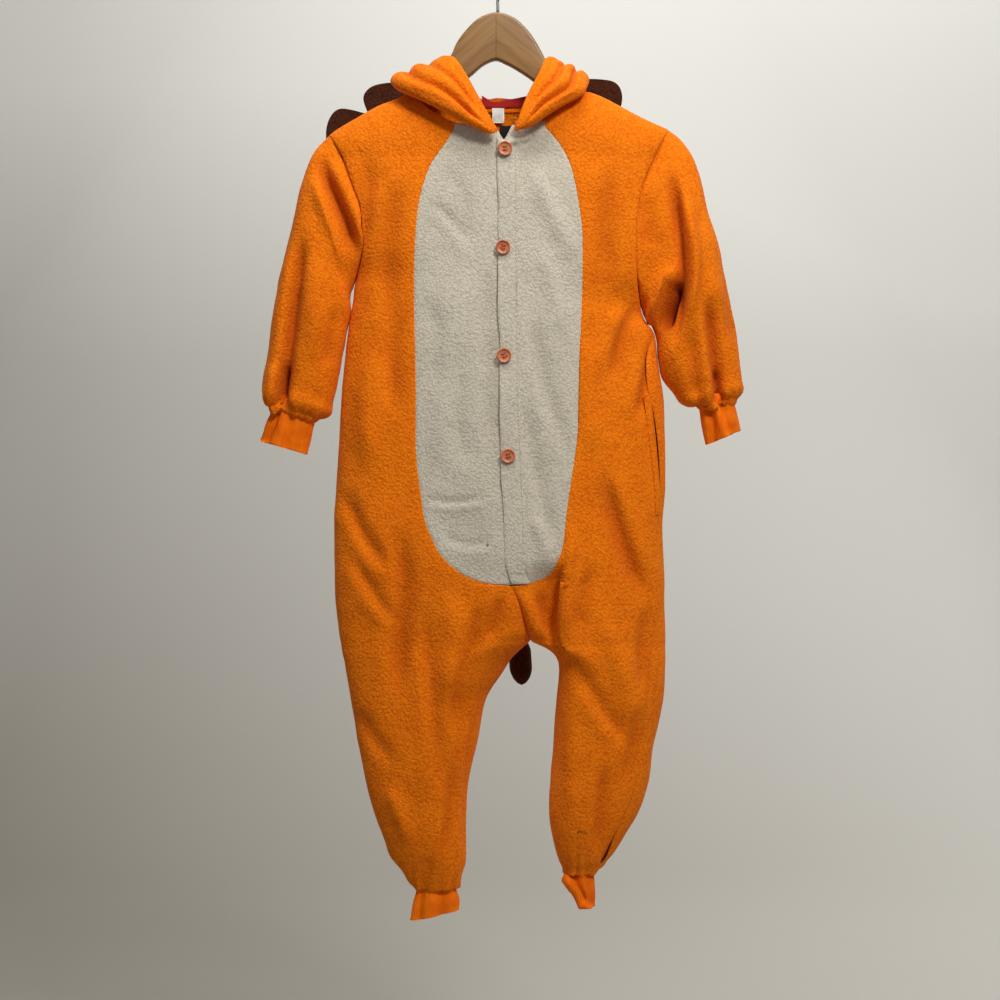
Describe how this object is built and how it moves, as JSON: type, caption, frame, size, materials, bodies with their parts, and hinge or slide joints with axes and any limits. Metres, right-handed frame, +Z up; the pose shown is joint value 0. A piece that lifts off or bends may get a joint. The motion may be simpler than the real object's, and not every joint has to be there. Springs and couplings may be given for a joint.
{
  "type": "lion costume on a wooden hanger",
  "caption": "Child's one-piece fleece lion suit with a cream belly, button front, dropped hood, scalloped mane, tail and knitted cuffs, hung on a contoured wooden hanger.",
  "frame": {"origin": "inner top of the hanger's hook, where it bears on a rail", "axes": "+Z up along the body, +X to the viewer's right (the wearer's left), the suit's front faces -Y"},
  "size_m": [0.533, 0.152, 1.0564],
  "materials": {
    "fleece_orange": "pebbled fleece nap, matt",
    "fleece_cream": "pebbled fleece nap, matt",
    "fleece_brown": "dark brown fleece, matt",
    "jersey_orange": "smooth knitted jersey",
    "jersey_red": "knitted jersey",
    "label_white": "satin ribbon, blank",
    "label_dark": "satin ribbon, blank",
    "button_salmon": "satin moulded plastic",
    "hanger_wood": "clear satin lacquer",
    "hook_steel": "drawn wire"
  },
  "bodies": {
    "root": {"front_a": "fleece_orange", "front_b": "fleece_orange", "back_a": "fleece_orange", "back_b": "fleece_orange", "belly_under": "fleece_cream", "belly_over": "fleece_cream", "placket_band": "fleece_cream", "sleeve_a": "fleece_orange", "sleeve_b": "fleece_orange", "wrist_cuff_a": "jersey_orange", "wrist_cuff_b": "jersey_orange", "ankle_cuff_a": "jersey_orange", "ankle_cuff_b": "jersey_orange", "hood_a": "fleece_orange", "hood_b": "fleece_orange", "neck_lining": "jersey_red", "label_white": "label_white", "label_dark": "label_dark", "mane_a": "fleece_brown", "mane_b": "fleece_brown", "tail": "fleece_orange", "tail_tuft": "fleece_brown", "pocket_bag": "jersey_orange", "pocket_edge": "fleece_orange", "button_1": "button_salmon", "button_2": "button_salmon", "button_3": "button_salmon", "button_4": "button_salmon", "hanger_wood": "hanger_wood", "hanger_hook": "hook_steel"}
  },
  "joints": []
}
